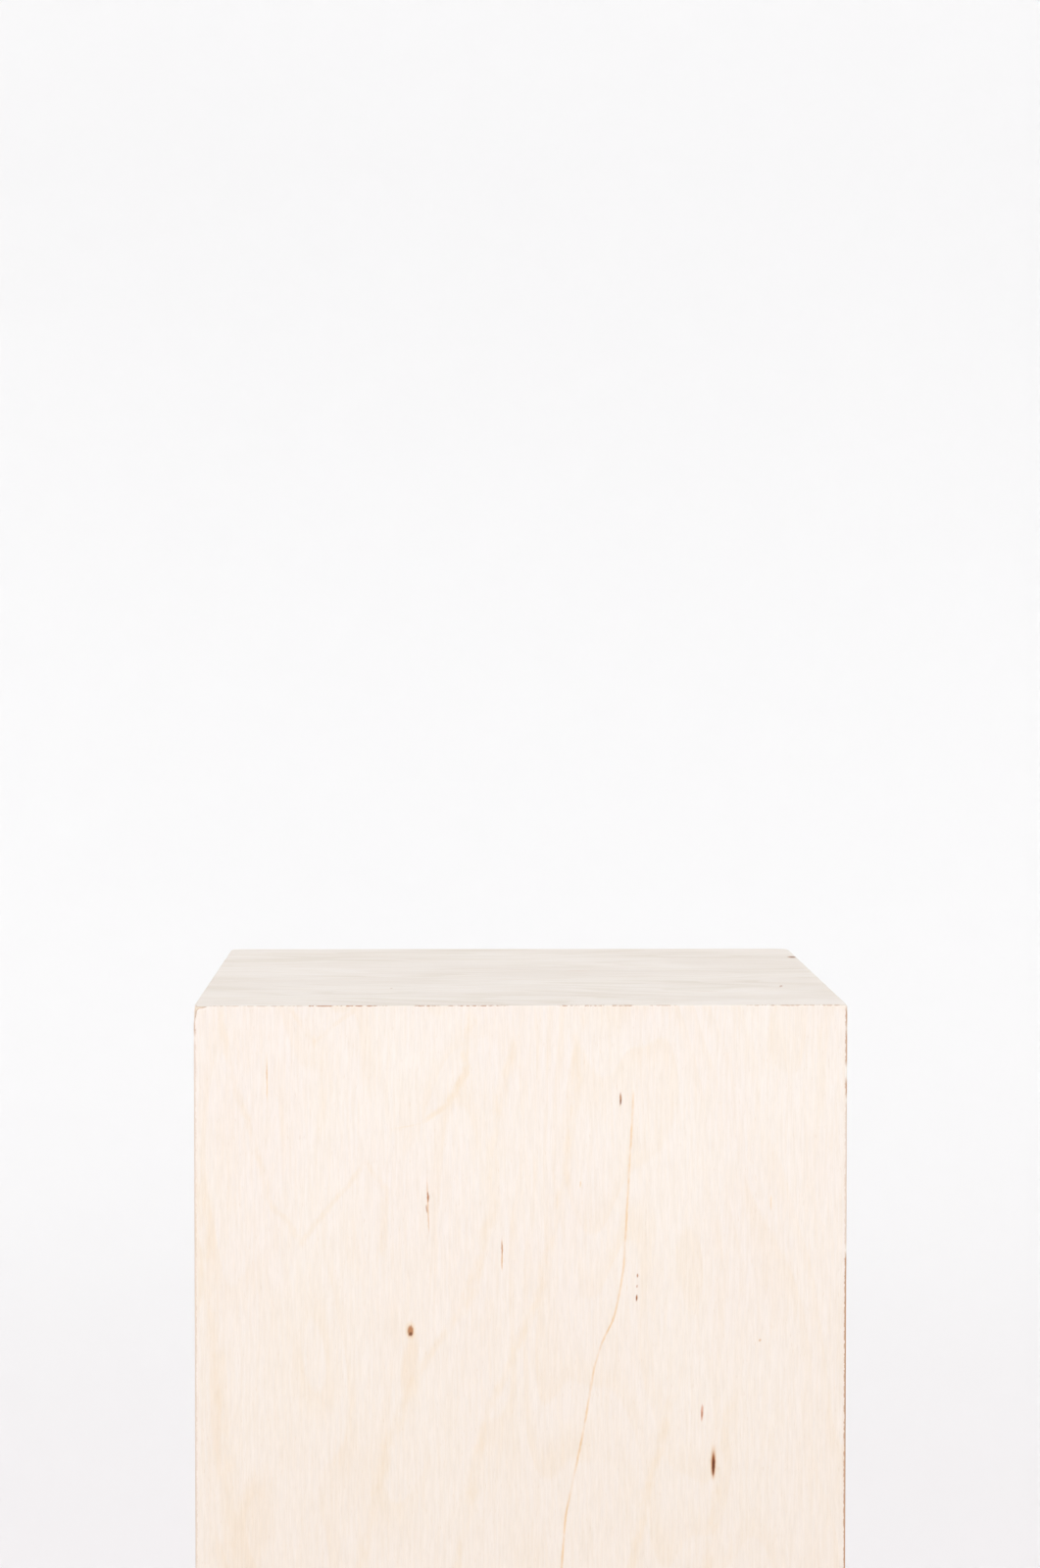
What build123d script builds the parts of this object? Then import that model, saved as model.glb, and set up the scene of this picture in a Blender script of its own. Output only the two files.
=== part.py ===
"""Display plinth: a mitred birch plywood case that stands on four levelling feet.

Four walls and a top, all of one sheet thickness, meet in mitres, so that only face veneer shows.
Each mitre is aligned by biscuits and backed by softwood: rails under the top and round the open
base, and glue blocks up the corners. A hardwood block in each lower corner carries a tee nut, and
a threaded stud turns in it. The stud turns in its pad too, which slides up or down without turning.

Units are millimetres. +Z is up, the front faces -Y, and the origin is on the floor, under the
middle of the case. Parts that repeat round the case are made once, at the front or at the front
right corner, and turned about Z.
"""

from build123d import *
import os

# Case
side = 350.0  # outer width and depth
height = 1100.0  # floor to display surface, with the feet wound in
ply = 15.0  # birch plywood
floor_gap = 6.0  # below the walls
arris = 1.0  # radius sanded on the outer edges
foot_arris = 0.6  # chamfer on the walls' lower outer edges
half = side / 2
inner = half - ply

# Softwood rails, glue blocks and hardwood foot blocks
rail_thick = 20.0
rail_high = 45.0
rail_ease = 1.0
block_side = 60.0
block_ease = 3.0  # chamfer on a foot block's free corner
stud_clearance = 0.5  # round the stud, all through the foot block
glue_side = 28.0
glue_flat = 10.0  # what is left of the glue block's open sides beside its sloping face
glue_long = 120.0
glue_levels = {"lower": 1 / 3, "upper": 2 / 3}  # share of the clear height below each middle

# Size 0 biscuits and their slots
biscuit_long = 47.0
biscuit_wide = 15.0
biscuit_thick = 4.0
biscuit_tip = 4.0  # width of the blunt ends
biscuit_inset = 14.5  # from the outer corner, along the mitre
slot_extra_long = 3.0
slot_extra_wide = 1.0
slot_extra_thick = 0.1
wall_biscuits = 6
wall_biscuit_margin = 66.0  # from the ends of a wall to its first biscuit
top_biscuit_offset = 85.0  # from the middle of a top edge

# Countersunk screws, 4 mm
screw_radius = 2.0
screw_head = 4.0
screw_head_deep = 2.6
screw_point = 5.0
screw_fit = 0.1  # clearance of each screw hole
rail_screw = 30.0
block_screw = 40.0
recess_long = 4.2
recess_wide = 0.9
recess_deep = 1.5
rail_screw_spacing = 70.0
top_rail_screw_spacing = 100.0
block_screw_bore = 4.75  # counterbore radius
block_screw_inset = 13.0  # from the block's open side
block_screw_low = 12.0
block_screw_high = 33.0
block_screw_hold = 12.0  # length of screw in the wall

# Levelling feet, M10
thread_radius = 5.0
thread_end = 0.8  # chamfer
foot_travel = 15.0
thread_long = foot_travel + 25.0  # still fills the tee nut when the foot is wound out
sole_radius = 13.5
sole_thick = 2.0
sole_proud = 1.0
sole_chamfer = 0.4
pad_radius = 16.0
pad_neck = 9.0
pad_edge = 2.5
pad_high = 7.0
foot_head_radius = 6.0
foot_head_thick = 2.9
foot_neck_radius = 4.0
foot_fit = 0.1
pad_lip = 1.4
hex_flats = 14.0
hex_thick = 5.0
hex_gap = 0.5
nut_flange_radius = 12.0
nut_flange = 1.5
nut_barrel = 6.1
nut_high = 13.0
nut_fit = 0.05
prongs = 4
prong_turn = 45.0
prong_radius = 9.0
prong_wide = 3.6
prong_thick = 1.2
prong_high = 7.0

# Heights worked out from the foot upwards
pad_top = sole_proud + pad_high
head_base = pad_top - pad_lip - foot_head_thick - foot_fit
hex_base = pad_top + hex_gap
flange_base = hex_base + hex_thick + hex_gap
base = flange_base + nut_flange  # underside of the foot blocks and base rails
base_top = base + rail_high
under_top = height - ply
foot_at = inner - block_side / 2

# Walls and corners, going round from the front and from the front right corner
walls = {"front": 0, "right": 90, "back": 180, "left": 270}
corners = {"front_right": 0, "back_right": 90, "back_left": 180, "front_left": 270}


def turned(angle):
    """The location that carries a part from the front, or the front right corner, round the case."""
    return Location((0, 0, 0), (0, 0, angle))


def round_z(vector, angle):
    return Vector(*vector).rotate(Axis.Z, angle)


def put(part, name, angle=0):
    """Writes a part as its own node, turned about Z to its wall or corner."""
    with BuildPart() as placed:
        with Locations(turned(angle)):
            add(part)
    placed.part.label = name
    export_step(placed.part, f"parts/{name}.step")


# --- Biscuits -------------------------------------------------------------------------------


def biscuit(extra_long=0.0, extra_wide=0.0, extra_thick=0.0):
    """A pressed beech lens, its length on X and its thickness on Z, or the slot that it sits in."""
    end = (biscuit_long + extra_long) / 2
    wide = (biscuit_wide + extra_wide) / 2
    tip = biscuit_tip / 2
    with BuildPart() as lens:
        with BuildSketch():
            with BuildLine():
                ThreePointArc((-end, -tip), (0, -wide), (end, -tip))
                Line((end, -tip), (end, tip))
                ThreePointArc((end, tip), (0, wide), (-end, tip))
                Line((-end, tip), (-end, -tip))
            make_face()
        extrude(amount=(biscuit_thick + extra_thick) / 2, both=True)
    return lens.part


def wall_joint_places(angle):
    """Where the biscuits lie in the upright mitre at a corner."""
    outward = round_z((1, -1, 0), angle).normalized()
    corner = round_z((half, -half, 0), angle)
    low = floor_gap + wall_biscuit_margin
    step = (height - floor_gap - 2 * wall_biscuit_margin) / (wall_biscuits - 1)
    return [
        Plane(
            origin=corner - outward * biscuit_inset + Vector(0, 0, low + n * step),
            x_dir=(0, 0, 1),
            z_dir=outward,
        )
        for n in range(wall_biscuits)
    ]


def top_joint_places(angle):
    """Where the biscuits lie in the mitre between a wall and the top."""
    outward = round_z((0, -1, 1), angle).normalized()
    edge = round_z((0, -half, height), angle)
    along = round_z((1, 0, 0), angle)
    return [
        Plane(
            origin=edge - outward * biscuit_inset + along * x,
            x_dir=along,
            z_dir=outward,
        )
        for x in (-top_biscuit_offset, top_biscuit_offset)
    ]


# --- Screws ---------------------------------------------------------------------------------


def screw_outline(length, grow=0.0):
    """Half the profile of a countersunk screw, its head's top at the origin and its point at -Z."""
    head, shank = screw_head + grow, screw_radius + grow
    return [
        (0, 0),
        (head, 0),
        (shank, -screw_head_deep),
        (shank, screw_point - length),
        (0, -length - grow),
        (0, 0),
    ]


def screw(length):
    """A countersunk wood screw with a cross recess."""
    with BuildPart() as body:
        with BuildSketch(Plane.XZ):
            with BuildLine():
                Polyline(*screw_outline(length))
            make_face()
        revolve(axis=Axis.Z)
        with BuildSketch():
            Rectangle(recess_long, recess_wide)
            Rectangle(recess_wide, recess_long)
        extrude(amount=-recess_deep, mode=Mode.SUBTRACT)
    return body.part


def screw_hole(length, counterbore=0.0):
    """The hole for a screw, with an optional counterbore of that depth above its head."""
    with BuildPart() as hole:
        with BuildSketch(Plane.XZ):
            with BuildLine():
                Polyline(*screw_outline(length, screw_fit))
            make_face()
        revolve(axis=Axis.Z)
        if counterbore:
            Cylinder(
                block_screw_bore,
                counterbore,
                align=(Align.CENTER, Align.CENTER, Align.MIN),
            )
    return hole.part


def rail_screw_places(spacing, z):
    """Screws through a rail into the front wall, their heads on the rail's inner face."""
    return [
        Plane(origin=(x, rail_thick - inner, z), x_dir=(1, 0, 0), z_dir=(0, 1, 0))
        for x in (-spacing, 0, spacing)
    ]


block_screw_depth = block_screw - block_screw_hold  # wood of the block that the screw passes through
block_counterbore = block_side - block_screw_depth
block_screw_across = inner - block_side + block_screw_inset


def block_screw_front(sign=1):
    """The screw from a foot block into the front wall: sign 1 at the right corner, -1 at the left."""
    low = block_screw_low if sign > 0 else block_screw_high
    return Plane(
        origin=(sign * block_screw_across, block_screw_depth - inner, base + low),
        x_dir=(1, 0, 0),
        z_dir=(0, 1, 0),
    )


def block_screw_places():
    """The two screws of the front right foot block, one into each wall."""
    into_right = Plane(
        origin=(inner - block_screw_depth, -block_screw_across, base + block_screw_high),
        x_dir=(0, 1, 0),
        z_dir=(-1, 0, 0),
    )
    return [block_screw_front(), into_right]


# --- Case -----------------------------------------------------------------------------------


def case_envelope():
    """The whole outside of the case, with its sanded edges, which trims every panel."""
    with BuildPart() as envelope:
        with Locations((0, 0, floor_gap)):
            Box(
                side,
                side,
                height - floor_gap,
                align=(Align.CENTER, Align.CENTER, Align.MIN),
            )
        upright = envelope.edges().filter_by(Axis.Z)
        rim = envelope.faces().sort_by(Axis.Z)[-1].edges()
        fillet(upright + rim, radius=arris)
        chamfer(envelope.faces().sort_by(Axis.Z)[0].edges(), length=foot_arris)
    return envelope.part


def wall_panel(envelope, slot):
    """The front wall: a plan with mitred ends crossed with a profile with a mitred top."""
    with BuildPart() as wall:
        with BuildSketch(Plane.XY.offset(floor_gap)):
            with BuildLine():
                Polyline(
                    (-half, -half),
                    (half, -half),
                    (inner, -inner),
                    (-inner, -inner),
                    (-half, -half),
                )
            make_face()
        extrude(amount=height - floor_gap)
        with BuildSketch(Plane.YZ):
            with BuildLine():
                Polyline(
                    (-half, floor_gap),
                    (-inner, floor_gap),
                    (-inner, under_top),
                    (-half, height),
                    (-half, floor_gap),
                )
            make_face()
        extrude(amount=half, both=True, mode=Mode.INTERSECT)
        add(envelope, mode=Mode.INTERSECT)
        slots = wall_joint_places(0) + wall_joint_places(-90) + top_joint_places(0)
        with Locations(*slots):
            add(slot, mode=Mode.SUBTRACT)
        low = rail_screw_places(rail_screw_spacing, base + rail_high / 2)
        high = rail_screw_places(top_rail_screw_spacing, under_top - rail_high / 2)
        with Locations(*low, *high):
            add(screw_hole(rail_screw), mode=Mode.SUBTRACT)
        with Locations(block_screw_front(1), block_screw_front(-1)):
            add(screw_hole(block_screw), mode=Mode.SUBTRACT)
    return wall.part


def top_panel(envelope, slot):
    """The display surface, mitred on all four edges."""
    with BuildPart() as top:
        with BuildSketch(Plane.XY.offset(height)):
            Rectangle(side, side)
        extrude(amount=-ply, taper=45)
        add(envelope, mode=Mode.INTERSECT)
        with Locations(*[p for angle in walls.values() for p in top_joint_places(angle)]):
            add(slot, mode=Mode.SUBTRACT)
    return top.part


# --- Inside ---------------------------------------------------------------------------------


def rail(length, bottom, spacing):
    """A softwood rail on the front wall's inner face, with its screw holes."""
    with BuildPart() as bar:
        with Locations((0, -inner, bottom)):
            Box(
                length,
                rail_thick,
                rail_high,
                align=(Align.CENTER, Align.MIN, Align.MIN),
            )
        chamfer(bar.edges().filter_by(Axis.X).sort_by(Axis.Y)[-2:], length=rail_ease)
        with Locations(*rail_screw_places(spacing, bottom + rail_high / 2)):
            add(screw_hole(rail_screw), mode=Mode.SUBTRACT)
    return bar.part


def glue_block(middle):
    """A corner block with its free corner planed off, in the front right corner."""
    near = inner - glue_side
    with BuildPart() as block:
        with BuildSketch(Plane.XY.offset(middle - glue_long / 2)):
            with BuildLine():
                Polyline(
                    (inner, -inner),
                    (inner, -near),
                    (inner - glue_flat, -near),
                    (near, glue_flat - inner),
                    (near, -inner),
                    (inner, -inner),
                )
            make_face()
        extrude(amount=glue_long)
    return block.part


def foot_block(nut_seat):
    """The front right corner block, bored for the foot and counterbored for its screws."""
    with BuildPart() as block:
        with Locations((foot_at, -foot_at, base)):
            Box(
                block_side,
                block_side,
                rail_high,
                align=(Align.CENTER, Align.CENTER, Align.MIN),
            )
            Cylinder(
                thread_radius + stud_clearance,
                rail_high,
                align=(Align.CENTER, Align.CENTER, Align.MIN),
                mode=Mode.SUBTRACT,
            )
        free_corner = block.edges().filter_by(Axis.Z).group_by(Axis.X)[0].sort_by(Axis.Y)[-1]
        chamfer(free_corner, length=block_ease)
        add(nut_seat, mode=Mode.SUBTRACT)
        with Locations(*block_screw_places()):
            add(screw_hole(block_screw, block_counterbore), mode=Mode.SUBTRACT)
    return block.part


# --- Levelling foot, at the front right corner ----------------------------------------------


def tee_nut(grow=0.0, bored=True):
    """A pronged tee nut whose flange bears on the block from below, or the seat it is driven into."""
    with BuildPart() as nut:
        with Locations((foot_at, -foot_at, flange_base)):
            Cylinder(
                nut_flange_radius,
                nut_flange,
                align=(Align.CENTER, Align.CENTER, Align.MIN),
            )
            Cylinder(
                nut_barrel + grow,
                nut_flange + nut_high + grow,
                align=(Align.CENTER, Align.CENTER, Align.MIN),
            )
        with Locations((foot_at, -foot_at, base)):
            with PolarLocations(prong_radius, prongs, start_angle=prong_turn):
                Box(
                    prong_thick + grow,
                    prong_wide + grow,
                    prong_high + grow,
                    align=(Align.CENTER, Align.CENTER, Align.MIN),
                )
        if bored:
            with Locations((foot_at, -foot_at, flange_base)):
                Cylinder(
                    thread_radius + nut_fit,
                    nut_flange + nut_high,
                    align=(Align.CENTER, Align.CENTER, Align.MIN),
                    mode=Mode.SUBTRACT,
                )
    return nut.part


def foot_stud():
    """The M10 stud with its hexagon, and the flanged head that turns in the pad."""
    with BuildPart() as stud:
        with Locations((foot_at, -foot_at, head_base)):
            Cylinder(
                foot_head_radius,
                foot_head_thick,
                align=(Align.CENTER, Align.CENTER, Align.MIN),
            )
            Cylinder(
                foot_neck_radius,
                hex_base - head_base,
                align=(Align.CENTER, Align.CENTER, Align.MIN),
            )
        with BuildSketch(Plane.XY.offset(hex_base)):
            with Locations((foot_at, -foot_at)):
                RegularPolygon(hex_flats / 2, 6, major_radius=False)
        extrude(amount=hex_thick)
        with Locations((foot_at, -foot_at, hex_base + hex_thick)):
            Cylinder(
                thread_radius,
                thread_long,
                align=(Align.CENTER, Align.CENTER, Align.MIN),
            )
        chamfer(stud.faces().sort_by(Axis.Z)[-1].edges(), length=thread_end)
    return stud.part


def foot_pad():
    """The nylon pad: a cone with a lipped socket for the stud and a shallow recess for the sole."""
    socket = foot_head_radius + foot_fit
    mouth = foot_neck_radius + foot_fit
    socket_base = head_base - foot_fit
    with BuildPart() as pad:
        with BuildSketch(Plane.XZ):
            with BuildLine():
                Polyline(
                    (0, sole_thick),
                    (sole_radius, sole_thick),
                    (sole_radius, sole_proud),
                    (pad_radius, sole_proud),
                    (pad_radius, sole_proud + pad_edge),
                    (pad_neck, pad_top),
                    (mouth, pad_top),
                    (mouth, pad_top - pad_lip),
                    (socket, pad_top - pad_lip),
                    (socket, socket_base),
                    (0, socket_base),
                    (0, sole_thick),
                )
            make_face()
        revolve(axis=Axis.Z)
    with BuildPart() as placed:
        with Locations((foot_at, -foot_at, 0)):
            add(pad.part)
    return placed.part


def foot_sole():
    """The rubber disc pressed into the pad's underside."""
    with BuildPart() as sole:
        with Locations((foot_at, -foot_at, 0)):
            Cylinder(
                sole_radius,
                sole_thick,
                align=(Align.CENTER, Align.CENTER, Align.MIN),
            )
        chamfer(sole.faces().sort_by(Axis.Z)[0].edges(), length=sole_chamfer)
    return sole.part


# --- Writing the nodes ----------------------------------------------------------------------

os.makedirs("parts", exist_ok=True)

outside = case_envelope()
joint_slot = biscuit(slot_extra_long, slot_extra_wide, slot_extra_thick)
wall_part = wall_panel(outside, joint_slot)
for wall_name, wall_angle in walls.items():
    put(wall_part, f"{wall_name}_panel", wall_angle)
put(top_panel(outside, joint_slot), "top_panel")

one_biscuit = biscuit()
for corner_name, corner_angle in corners.items():
    with BuildPart() as upright_biscuits:
        with Locations(*wall_joint_places(corner_angle)):
            add(one_biscuit)
    put(upright_biscuits.part, f"biscuits_{corner_name}")
for wall_name, wall_angle in walls.items():
    with BuildPart() as rim_biscuits:
        with Locations(*top_joint_places(wall_angle)):
            add(one_biscuit)
    put(rim_biscuits.part, f"biscuits_top_{wall_name}")

base_rail = rail(2 * (inner - block_side), base, rail_screw_spacing)
long_rail = rail(2 * inner, under_top - rail_high, top_rail_screw_spacing)
short_rail = rail(2 * (inner - rail_thick), under_top - rail_high, top_rail_screw_spacing)
for wall_name, wall_angle in walls.items():
    put(base_rail, f"base_rail_{wall_name}", wall_angle)
    top_rail = long_rail if wall_name in ("front", "back") else short_rail
    put(top_rail, f"top_rail_{wall_name}", wall_angle)

clear_height = under_top - rail_high - base_top
for level, share in glue_levels.items():
    corner_block = glue_block(base_top + clear_height * share)
    for corner_name, corner_angle in corners.items():
        put(corner_block, f"glue_block_{corner_name}_{level}", corner_angle)

foot_pieces = {
    "foot_block": foot_block(tee_nut(grow=nut_fit, bored=False)),
    "tee_nut": tee_nut(),
    "foot_stud": foot_stud(),
    "foot_pad": foot_pad(),
    "foot_sole": foot_sole(),
}
for piece_name, piece in foot_pieces.items():
    for corner_name, corner_angle in corners.items():
        put(piece, f"{piece_name}_{corner_name}", corner_angle)

rail_screw_part = screw(rail_screw)
with BuildPart() as base_screws:
    for wall_angle in walls.values():
        with Locations(turned(wall_angle)):
            with Locations(*rail_screw_places(rail_screw_spacing, base + rail_high / 2)):
                add(rail_screw_part)
put(base_screws.part, "base_rail_screws")
with BuildPart() as top_screws:
    for wall_angle in walls.values():
        with Locations(turned(wall_angle)):
            with Locations(
                *rail_screw_places(top_rail_screw_spacing, under_top - rail_high / 2)
            ):
                add(rail_screw_part)
put(top_screws.part, "top_rail_screws")
with BuildPart() as block_screws:
    for corner_angle in corners.values():
        with Locations(turned(corner_angle)):
            with Locations(*block_screw_places()):
                add(screw(block_screw))
put(block_screws.part, "foot_block_screws")
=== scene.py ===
"""The display plinth's looks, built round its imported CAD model.

Metres, +Z up, the front face towards -Y. Lists of marks are in millimetres, as a joiner would
measure them on the panel: across from the left edge and down from the top edge.
"""

import math
import random

import bmesh
import bpy
from mathutils import Matrix, Vector


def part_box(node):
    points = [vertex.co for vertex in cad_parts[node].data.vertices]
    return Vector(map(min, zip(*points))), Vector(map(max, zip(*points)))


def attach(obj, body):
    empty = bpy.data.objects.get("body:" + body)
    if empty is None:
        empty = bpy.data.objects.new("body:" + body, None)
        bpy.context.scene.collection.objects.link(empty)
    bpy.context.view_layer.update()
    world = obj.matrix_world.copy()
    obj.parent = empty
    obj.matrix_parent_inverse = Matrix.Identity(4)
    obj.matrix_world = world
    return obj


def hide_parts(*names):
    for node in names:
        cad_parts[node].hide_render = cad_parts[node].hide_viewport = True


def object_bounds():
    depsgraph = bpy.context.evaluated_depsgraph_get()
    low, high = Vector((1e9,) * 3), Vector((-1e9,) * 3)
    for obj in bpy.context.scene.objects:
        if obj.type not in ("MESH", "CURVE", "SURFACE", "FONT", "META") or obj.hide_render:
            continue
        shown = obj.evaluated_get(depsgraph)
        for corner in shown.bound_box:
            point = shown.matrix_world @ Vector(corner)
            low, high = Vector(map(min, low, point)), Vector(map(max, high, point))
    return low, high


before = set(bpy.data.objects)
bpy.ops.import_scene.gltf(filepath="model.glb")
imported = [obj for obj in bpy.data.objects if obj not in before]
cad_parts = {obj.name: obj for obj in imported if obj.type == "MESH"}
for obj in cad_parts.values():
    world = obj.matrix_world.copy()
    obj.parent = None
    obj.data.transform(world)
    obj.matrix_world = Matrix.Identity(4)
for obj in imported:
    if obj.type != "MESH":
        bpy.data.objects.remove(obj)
cad_low, cad_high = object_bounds()

# --- Sizes, read from the CAD model -----------------------------------------------------------

MM = 0.001
HALF = cad_high.x
HEIGHT = cad_high.z
WALL_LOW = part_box("front_panel")[0].z
TOP_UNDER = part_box("top_panel")[0].z
PLY = HEIGHT - TOP_UNDER
INNER = HALF - PLY
PLIES = 11

# Levelling feet: heights and radii. z = 0 is the floor.
PAD_LOW, PAD_HIGH = (point.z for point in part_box("foot_pad_front_right"))
SOLE_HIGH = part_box("foot_sole_front_right")[1].z
HEAD_LOW, STUD_TOP = (point.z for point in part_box("foot_stud_front_right"))
STUD_AT = (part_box("foot_pad_front_right")[0].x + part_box("foot_pad_front_right")[1].x) / 2
PAD_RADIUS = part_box("foot_pad_front_right")[1].x - STUD_AT
SOLE_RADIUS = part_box("foot_sole_front_right")[1].x - STUD_AT
PAD_EDGE = 2.5 * MM
PAD_NECK = 9.0 * MM
PAD_RIBS = 36
PAD_RIB_DEPTH = 0.35 * MM
SOLE_RINGS = 7
SOLE_GROOVE = 0.6 * MM
HEAD_HIGH = HEAD_LOW + 2.9 * MM
HEAD_RADIUS = 6.0 * MM
NECK_RADIUS = 4.0 * MM
SOCKET_LOW = HEAD_LOW - 0.1 * MM
SOCKET_HIGH = HEAD_HIGH + 0.1 * MM
SOCKET_RADIUS = HEAD_RADIUS + 0.1 * MM
MOUTH_RADIUS = NECK_RADIUS + 0.1 * MM
HEX_LOW = PAD_HIGH + 0.5 * MM
HEX_TOP = HEX_LOW + 5.0 * MM
HEX_FLATS = 14.0 * MM
CHAMFER_STEPS = 4
THREAD_PITCH = 1.5 * MM
THREAD_CREST = 4.97 * MM
THREAD_ROOT = 4.10 * MM
THREAD_ROWS = 8  # mesh rows for each turn of the thread
STUD_STEPS = 36  # mesh steps round each kind of piece
PAD_STEPS = 144
SOLE_STEPS = 64

# --- Panels: edges and corners ----------------------------------------------------------------

ARRIS = 0.8 * MM  # radius sanded on the outer edges
BOTTOM_EASE = 0.5 * MM
KNOCK_REACH = 7 * MM  # how far along an edge a knocked corner spreads
GRID = 7 * MM
ARC_STEPS = 5
COARSE = 8  # outer grid lines for each line on the inner face
LEAST_GAP = 0.2 * MM  # between two grid lines
SLOT_CLEARANCE = 0.15 * MM
CUT_EDGE = 1  # a panel's second material. The first is its veneer.

# Radius of each top corner: the front left one is knocked and worn, the back right one nicked.
CORNER_RADIUS = {
    "front_left": 3.6 * MM,
    "front_right": 1.3 * MM,
    "back_left": 1.6 * MM,
    "back_right": 2.8 * MM,
}

# Each edge's ends at a top corner, as the place along it (z, x or y) and the corner's name.
EDGE_ENDS = {
    "front_left": [(HEIGHT, "front_left")],
    "front_right": [(HEIGHT, "front_right")],
    "back_left": [(HEIGHT, "back_left")],
    "back_right": [(HEIGHT, "back_right")],
    "top_front": [(-HALF, "front_left"), (HALF, "front_right")],
    "top_back": [(-HALF, "back_left"), (HALF, "back_right")],
    "top_left": [(-HALF, "front_left"), (HALF, "back_left")],
    "top_right": [(-HALF, "front_right"), (HALF, "back_right")],
}
EDGES = list(EDGE_ENDS)

# Each wall's turn about Z, the upright edges at its left and right, and the sign that turns a place
# across the wall into one along its top edge.
WALLS = {
    "front": (0, "front_left", "front_right", 1),
    "right": (90, "front_right", "back_right", 1),
    "back": (180, "back_right", "back_left", -1),
    "left": (270, "back_left", "front_left", -1),
}


def smooth(share):
    share = min(max(share, 0.0), 1.0)
    return share * share * (3 - 2 * share)


def lerp(low, high, share):
    return low + (high - low) * share


def edge_radius(edge):
    """Gives an edge's radius at a place along it: uneven sanding, and rounder at its corners."""
    rng = random.Random(EDGES.index(edge))
    waves = [
        (rng.uniform(18, 90) * MM, rng.uniform(0, math.tau), rng.uniform(0.05, 0.14))
        for _ in range(4)
    ]

    def radius(along):
        uneven = sum(size * math.sin(math.tau * along / length + phase) for length, phase, size in waves)
        result = ARRIS * (1 + uneven)
        for end, corner in EDGE_ENDS[edge]:
            near = smooth(1 - abs(along - end) / KNOCK_REACH)
            result = lerp(result, CORNER_RADIUS[corner], near)
        return result

    return radius


RADIUS = {edge: edge_radius(edge) for edge in EDGES}


# --- Natural marks on the front ---------------------------------------------------------------

# What each kind of mark lets through of the veneer's colour
BARK = (0.190, 0.080, 0.035)
BROWN = (0.520, 0.240, 0.090)
TAN = (0.820, 0.540, 0.290)
ROSE = (0.760, 0.440, 0.330)
OCHRE = (0.950, 0.820, 0.620)
MINERAL = (0.930, 0.710, 0.440)
FIGURE = (0.982, 0.935, 0.850)

# across, down, width, length (mm), lean (degrees), tint, strength
FRONT_MARKS = [
    # pin knot: stain below it, rim, body and dark point
    (115.0, 193.0, 9.0, 34.0, 8, OCHRE, 0.35),
    (115.7, 175.2, 6.0, 10.0, 0, OCHRE, 0.60),
    (115.7, 175.4, 3.5, 6.6, 0, BROWN, 0.90),
    (115.8, 177.0, 2.0, 2.2, 0, BARK, 0.70),
    # streaks and flecks
    (228.3, 50.4, 1.2, 7.6, 1, BROWN, 0.85),
    (228.4, 52.0, 0.9, 3.0, 0, BARK, 0.60),
    (125.1, 108.0, 0.9, 30.0, -2, TAN, 0.60),
    (125.1, 103.0, 1.2, 6.0, -4, BROWN, 0.80),
    (124.4, 109.6, 1.1, 5.0, -4, BROWN, 0.60),
    (164.8, 134.0, 0.9, 19.0, 0, TAN, 0.70),
    (164.8, 131.0, 0.9, 8.0, 0, BROWN, 0.45),
    (237.6, 145.7, 0.9, 2.2, 0, BROWN, 0.85),
    (237.3, 151.7, 0.9, 1.8, 0, BROWN, 0.60),
    (237.1, 157.9, 1.1, 3.8, 4, BROWN, 1.00),
    (237.1, 158.3, 0.8, 2.2, 4, BARK, 0.50),
    (272.4, 220.2, 1.5, 9.6, 2, ROSE, 0.85),
    (272.4, 221.0, 0.9, 4.0, 2, BROWN, 0.50),
    (303.5, 181.0, 1.5, 1.4, 0, TAN, 0.60),
    (39.0, 38.8, 0.9, 26.0, 0, OCHRE, 0.80),
    (39.0, 36.0, 0.8, 9.0, 0, TAN, 0.40),
    (309.3, 106.8, 0.9, 9.0, 0, OCHRE, 0.70),
    (206.8, 96.3, 0.9, 3.4, 0, OCHRE, 0.80),
    # gum pocket: stained rim and dark middle
    (278.6, 247.5, 3.6, 19.0, 1, TAN, 0.55),
    (278.6, 248.3, 2.1, 14.5, 1, BROWN, 1.00),
    (278.7, 249.0, 1.3, 10.5, 1, BARK, 0.85),
    # warm stains by the left edge
    (9.0, 130.0, 5.0, 55.0, 2, OCHRE, 0.16),
    (11.0, 215.0, 6.0, 75.0, -2, OCHRE, 0.20),
    (30.0, 285.0, 22.0, 70.0, 12, OCHRE, 0.16),
]

# back from the middle, right from the middle, width, length (mm), lean, tint, strength
TOP_MARKS = [
    (113.2, 172.0, 13.0, 5.5, 0, BROWN, 0.80),
    (113.2, 172.6, 7.0, 3.5, 0, BARK, 0.60),
    (-71.5, 148.6, 13.0, 1.8, -9, BROWN, 0.60),
    (-81.0, -70.8, 5.0, 1.2, 0, BROWN, 0.50),
]

# Hollows in the front face: across, down, width, length, depth
FRONT_HOLLOWS = [
    (115.7, 175.4, 3.0, 6.0, 0.22),
    (278.6, 248.3, 1.9, 14.0, 0.45),
]

# The thin mineral line, as (down, across) points
MINERAL_LINE = [(48, 235.2), (56, 234.9), (90, 232.9), (119, 231.4), (142, 230.1)]
MINERAL_LINE += [(160, 227), (170, 224.5), (177, 220.8), (184, 217.7), (197, 214)]
MINERAL_LINE += [(228, 209), (276, 199), (330, 195), (480, 190), (1094, 176)]

# Contour lines of the figure
LONG_CONTOUR = [(17, 172), (51, 163), (114, 158), (162, 145), (196, 121), (240, 102), (301, 90), (600, 60)]
NEXT_CONTOUR = [(2, 206), (51, 204), (99, 197), (158, 184), (226, 155), (301, 141), (600, 120)]

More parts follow.
